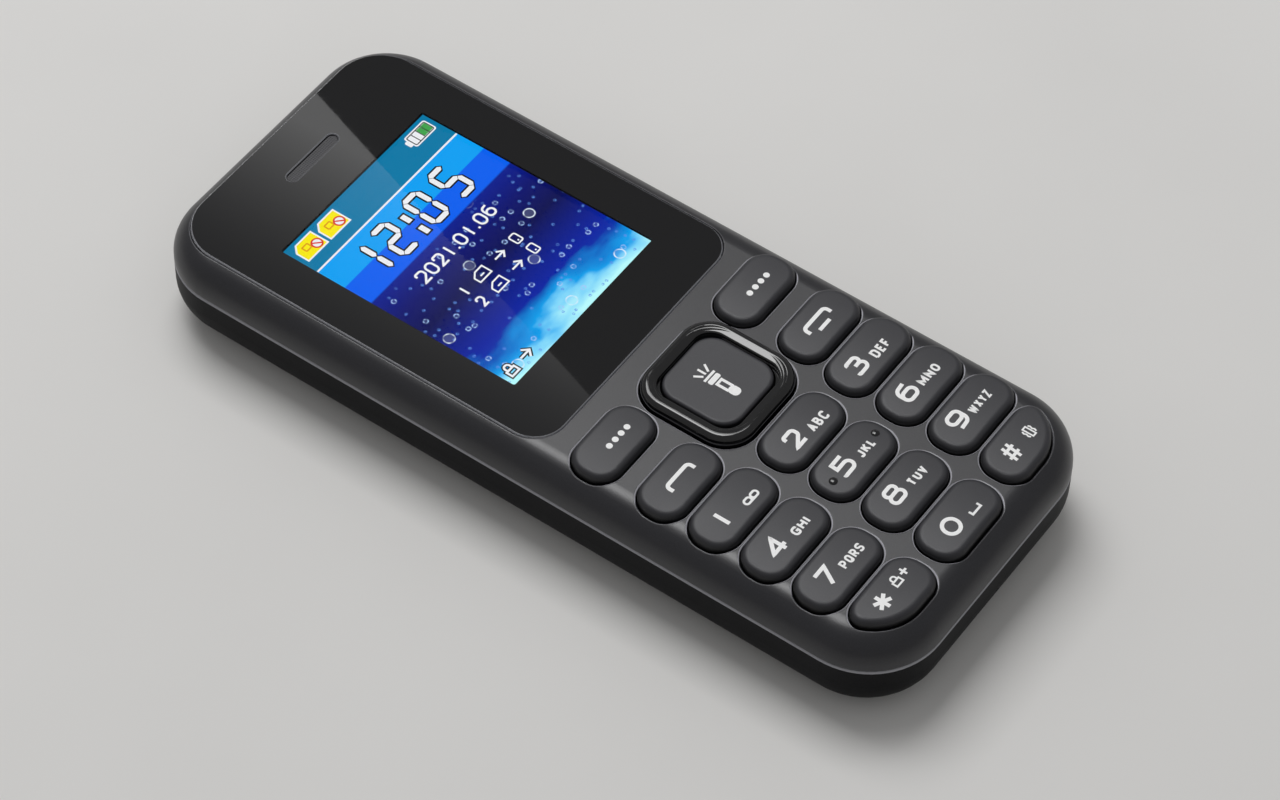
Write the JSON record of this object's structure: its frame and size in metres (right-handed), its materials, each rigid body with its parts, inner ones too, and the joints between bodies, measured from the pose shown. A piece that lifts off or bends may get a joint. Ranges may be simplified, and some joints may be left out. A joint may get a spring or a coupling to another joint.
{
  "type": "keypad mobile phone",
  "caption": "Bar-shaped keypad phone with a small colour screen, number keys, a navigation ring, a lift-off rear cover and a removable battery.",
  "frame": {"origin": "under the middle of the body, on the face it lies on", "axes": "+X to the right across the keys, +Y from the keys to the earpiece, +Z out of the screen"},
  "size_m": [0.046, 0.11, 0.0148],
  "materials": {
    "soft_touch_plastic": "matte soft-touch black",
    "cover_plastic": "fine matte black",
    "inner_plastic": "moulded black",
    "key_plastic": "matte dark grey",
    "ring_plastic": "glossy black",
    "lens_acrylic": "clear, black behind its border",
    "clear_acrylic": "clear",
    "screen_glass": "lit picture",
    "tape": "black foam tape",
    "rubber_part": "matte",
    "steel": "pressed sheet",
    "circuit_board": "green solder mask",
    "film": "translucent film",
    "gold_contact": "gold plated",
    "black_resin": "moulded",
    "cloth_mesh": "woven",
    "battery_wrap": "printed film",
    "lamp_resin": "clear resin",
    "flex_film": "polyimide"
  },
  "bodies": {
    "housing": {"front_housing": "soft_touch_plastic", "rear_housing": "inner_plastic", "screen_lens": "lens_acrylic", "lens_adhesive": "tape", "earpiece_mesh": "cloth_mesh", "earpiece_speaker": "steel", "lcd_gasket": "tape", "lcd_panel": "screen_glass", "lcd_frame": "steel", "lcd_flex": "flex_film", "main_board": "circuit_board", "shield_can": "steel", "key_domes": "steel", "dome_film": "film", "light_guide": "clear_acrylic", "keypad_leds": "lamp_resin", "battery_connector": "black_resin", "sim_holders": "steel", "memory_card_slot": "steel", "loudspeaker": "black_resin", "loudspeaker_mesh": "cloth_mesh", "vibration_motor": "steel", "motor_holder": "rubber_part", "microphone": "steel", "mic_boot": "rubber_part", "audio_jack": "black_resin", "usb_socket": "steel", "usb_tongue": "black_resin", "torch_led": "lamp_resin", "torch_lens": "clear_acrylic", "antenna": "steel", "housing_screws": "steel"},
    "cover": {"rear_cover": "cover_plastic"},
    "battery": {"battery_pack": "battery_wrap", "battery_terminals": "gold_contact"},
    "contacts": {"contact_pins": "gold_contact"},
    "weight": {"motor_weight": "steel"},
    "ring_seat": {"nav_seat": "rubber_part"},
    "ring": {"nav_ring": "ring_plastic"},
    "select": {"select_key": "key_plastic"},
    "button_soft_left": {"key_soft_left": "key_plastic"},
    "button_soft_right": {"key_soft_right": "key_plastic"},
    "button_call": {"key_call": "key_plastic"},
    "button_end": {"key_end": "key_plastic"},
    "button_1": {"key_1": "key_plastic"},
    "button_2": {"key_2": "key_plastic"},
    "button_3": {"key_3": "key_plastic"},
    "button_4": {"key_4": "key_plastic"},
    "button_5": {"key_5": "key_plastic"},
    "button_6": {"key_6": "key_plastic"},
    "button_7": {"key_7": "key_plastic"},
    "button_8": {"key_8": "key_plastic"},
    "button_9": {"key_9": "key_plastic"},
    "button_star": {"key_star": "key_plastic"},
    "button_0": {"key_0": "key_plastic"},
    "button_hash": {"key_hash": "key_plastic"}
  },
  "joints": [
    {"name": "press_soft_left", "type": "slide", "parent": "housing", "child": "button_soft_left", "axis": [0, 0, -1], "range_m": [0, 0.0003], "stiffness_N_per_m": 800, "springref_m": -0.0002, "deforming": ["key_domes"]},
    {"name": "press_soft_right", "type": "slide", "parent": "housing", "child": "button_soft_right", "axis": [0, 0, -1], "range_m": [0, 0.0003], "stiffness_N_per_m": 800, "springref_m": -0.0002, "deforming": ["key_domes"]},
    {"name": "press_call", "type": "slide", "parent": "housing", "child": "button_call", "axis": [0, 0, -1], "range_m": [0, 0.0003], "stiffness_N_per_m": 800, "springref_m": -0.0002, "deforming": ["key_domes"]},
    {"name": "press_end", "type": "slide", "parent": "housing", "child": "button_end", "axis": [0, 0, -1], "range_m": [0, 0.0003], "stiffness_N_per_m": 800, "springref_m": -0.0002, "deforming": ["key_domes"]},
    {"name": "press_1", "type": "slide", "parent": "housing", "child": "button_1", "axis": [0, 0, -1], "range_m": [0, 0.0003], "stiffness_N_per_m": 800, "springref_m": -0.0002, "deforming": ["key_domes"]},
    {"name": "press_2", "type": "slide", "parent": "housing", "child": "button_2", "axis": [0, 0, -1], "range_m": [0, 0.0003], "stiffness_N_per_m": 800, "springref_m": -0.0002, "deforming": ["key_domes"]},
    {"name": "press_3", "type": "slide", "parent": "housing", "child": "button_3", "axis": [0, 0, -1], "range_m": [0, 0.0003], "stiffness_N_per_m": 800, "springref_m": -0.0002, "deforming": ["key_domes"]},
    {"name": "press_4", "type": "slide", "parent": "housing", "child": "button_4", "axis": [0, 0, -1], "range_m": [0, 0.0003], "stiffness_N_per_m": 800, "springref_m": -0.0002, "deforming": ["key_domes"]},
    {"name": "press_5", "type": "slide", "parent": "housing", "child": "button_5", "axis": [0, 0, -1], "range_m": [0, 0.0003], "stiffness_N_per_m": 800, "springref_m": -0.0002, "deforming": ["key_domes"]},
    {"name": "press_6", "type": "slide", "parent": "housing", "child": "button_6", "axis": [0, 0, -1], "range_m": [0, 0.0003], "stiffness_N_per_m": 800, "springref_m": -0.0002, "deforming": ["key_domes"]},
    {"name": "press_7", "type": "slide", "parent": "housing", "child": "button_7", "axis": [0, 0, -1], "range_m": [0, 0.0003], "stiffness_N_per_m": 800, "springref_m": -0.0002, "deforming": ["key_domes"]},
    {"name": "press_8", "type": "slide", "parent": "housing", "child": "button_8", "axis": [0, 0, -1], "range_m": [0, 0.0003], "stiffness_N_per_m": 800, "springref_m": -0.0002, "deforming": ["key_domes"]},
    {"name": "press_9", "type": "slide", "parent": "housing", "child": "button_9", "axis": [0, 0, -1], "range_m": [0, 0.0003], "stiffness_N_per_m": 800, "springref_m": -0.0002, "deforming": ["key_domes"]},
    {"name": "press_star", "type": "slide", "parent": "housing", "child": "button_star", "axis": [0, 0, -1], "range_m": [0, 0.0003], "stiffness_N_per_m": 800, "springref_m": -0.0002, "deforming": ["key_domes"]},
    {"name": "press_0", "type": "slide", "parent": "housing", "child": "button_0", "axis": [0, 0, -1], "range_m": [0, 0.0003], "stiffness_N_per_m": 800, "springref_m": -0.0002, "deforming": ["key_domes"]},
    {"name": "press_hash", "type": "slide", "parent": "housing", "child": "button_hash", "axis": [0, 0, -1], "range_m": [0, 0.0003], "stiffness_N_per_m": 800, "springref_m": -0.0002, "deforming": ["key_domes"]},
    {"name": "press_select", "type": "slide", "parent": "housing", "child": "select", "axis": [0, 0, -1], "range_m": [0, 0.0003], "stiffness_N_per_m": 800, "springref_m": -0.0002, "deforming": ["key_domes"]},
    {"name": "ring_pitch", "type": "hinge", "parent": "housing", "child": "ring_seat", "pos_m": [0, -0.01475, 0.01045], "axis": [1, 0, 0], "range_deg": [-2, 2], "stiffness_Nm_per_rad": 0.05, "deforming": ["key_domes"]},
    {"name": "ring_roll", "type": "hinge", "parent": "ring_seat", "child": "ring", "pos_m": [0, -0.01475, 0.01045], "axis": [0, 1, 0], "range_deg": [-2, 2], "stiffness_Nm_per_rad": 0.05, "deforming": ["key_domes"]},
    {"name": "cover_lift", "type": "slide", "parent": "housing", "child": "cover", "axis": [0, 0, -1], "range_m": [0, 0.03]},
    {"name": "battery_lift", "type": "slide", "parent": "housing", "child": "battery", "axis": [0, 0, -1], "range_m": [0, 0.015]},
    {"name": "contact_press", "type": "slide", "parent": "housing", "child": "contacts", "axis": [0, -1, 0], "range_m": [0, 0.0003], "stiffness_N_per_m": 300, "springref_m": -0.0003},
    {"name": "motor_spin", "type": "hinge", "parent": "housing", "child": "weight", "pos_m": [0, -0.0449, 0.0044], "axis": [1, 0, 0], "continuous": true}
  ],
  "couplings": [
    {"joint": "battery_lift", "follows": "cover_lift", "ratio": 0.5}
  ]
}
